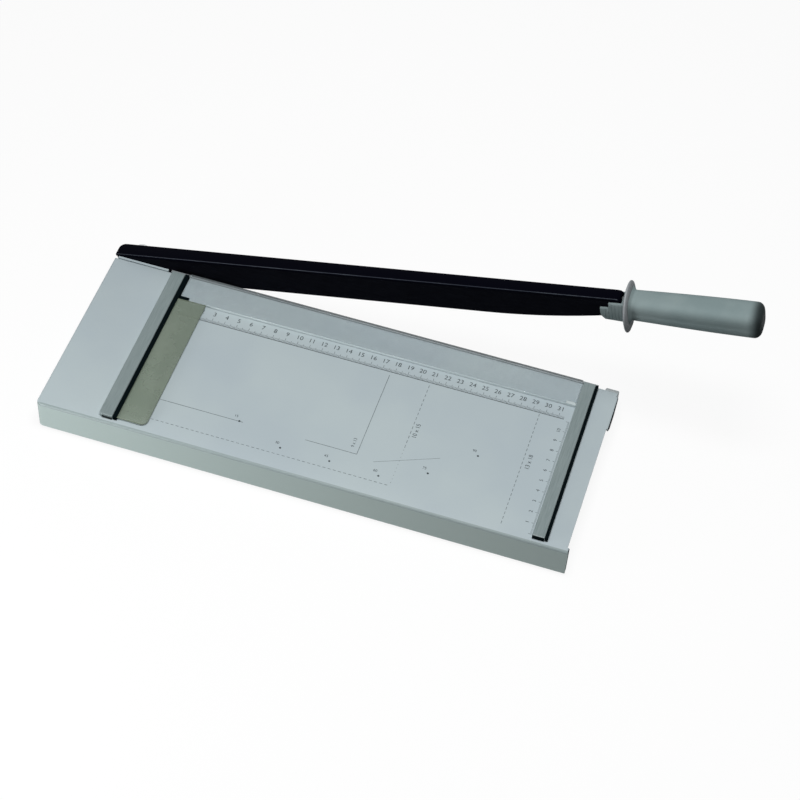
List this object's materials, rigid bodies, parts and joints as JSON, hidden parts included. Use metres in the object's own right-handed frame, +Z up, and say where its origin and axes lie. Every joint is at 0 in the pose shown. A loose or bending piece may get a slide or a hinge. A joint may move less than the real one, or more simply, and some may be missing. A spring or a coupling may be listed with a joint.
{
  "type": "guillotine paper cutter",
  "caption": "Desk guillotine paper cutter: grey sheet-metal table, stop bars, clear hinged guard and a black arm with blade and grip, raised at rest.",
  "frame": {"origin": "middle of the whole cutter's outline on the floor, arm raised as at rest", "axes": "+X along the cut from the pivot end to the handle, +Y from the front edge to the cutting edge, +Z up"},
  "size_m": [0.6629, 0.2427, 0.1968],
  "materials": {
    "light_grey_paint": "satin",
    "bar_grey": "satin",
    "black_plastic": "matte",
    "black_enamel": "semi-gloss",
    "blackened_blade": "black coated steel",
    "ground_steel": "ground",
    "zinc_steel": "zinc plated",
    "brass": "turned",
    "rubber": "matte",
    "clear_acrylic": "clear, polished",
    "tinted_acrylic": "tinted, polished",
    "grip_grey": "matte",
    "socket_grey": "satin"
  },
  "bodies": {
    "base": {"arm_buffer": "rubber", "bar_screw_1": "zinc_steel", "bar_screw_2": "zinc_steel", "bar_screw_3": "zinc_steel", "bar_screw_4": "zinc_steel", "bed_knife": "ground_steel", "buffer_screw": "zinc_steel", "disc_spring_1": "zinc_steel", "disc_spring_2": "zinc_steel", "foot_front_left": "rubber", "foot_front_right": "rubber", "foot_rear_left": "rubber", "foot_rear_right": "rubber", "knife_rail": "zinc_steel", "knife_screw_1": "zinc_steel", "knife_screw_2": "zinc_steel", "knife_screw_3": "zinc_steel", "knife_screw_4": "zinc_steel", "knife_screw_5": "zinc_steel", "left_bar_insert": "black_plastic", "left_stop_bar": "bar_grey", "pivot_bolt": "zinc_steel", "pivot_nut": "zinc_steel", "pivot_plate": "zinc_steel", "pivot_screw_1": "zinc_steel", "pivot_screw_2": "zinc_steel", "right_bar_insert": "black_plastic", "right_stop_bar": "bar_grey", "side_plate": "tinted_acrylic", "table_tray": "light_grey_paint", "thrust_washer": "brass"},
    "arm": {"arm_channel": "black_enamel", "upper_blade": "blackened_blade", "pivot_bush": "brass", "handle_tang": "zinc_steel", "handle_socket": "socket_grey", "handle_grip": "grip_grey", "grip_nut": "zinc_steel", "grip_plug": "black_plastic", "blade_screw_1": "zinc_steel", "blade_screw_2": "zinc_steel", "blade_screw_3": "zinc_steel", "blade_screw_4": "zinc_steel", "tang_screw_1": "zinc_steel", "tang_screw_2": "zinc_steel"},
    "guard": {"guard_plate": "clear_acrylic", "guard_lug_left": "black_plastic", "guard_lug_right": "black_plastic"}
  },
  "joints": [
    {"name": "arm_pivot", "type": "hinge", "parent": "base", "child": "arm", "pos_m": [-0.31298, 0.09792, 0.0233], "axis": [0, -1, 0], "range_deg": [-12.74, 46.26]},
    {"name": "guard_hinge", "type": "hinge", "parent": "base", "child": "guard", "pos_m": [-0.03698, 0.05502, 0.0394], "axis": [1, 0, 0], "range_deg": [0, 12]}
  ]
}
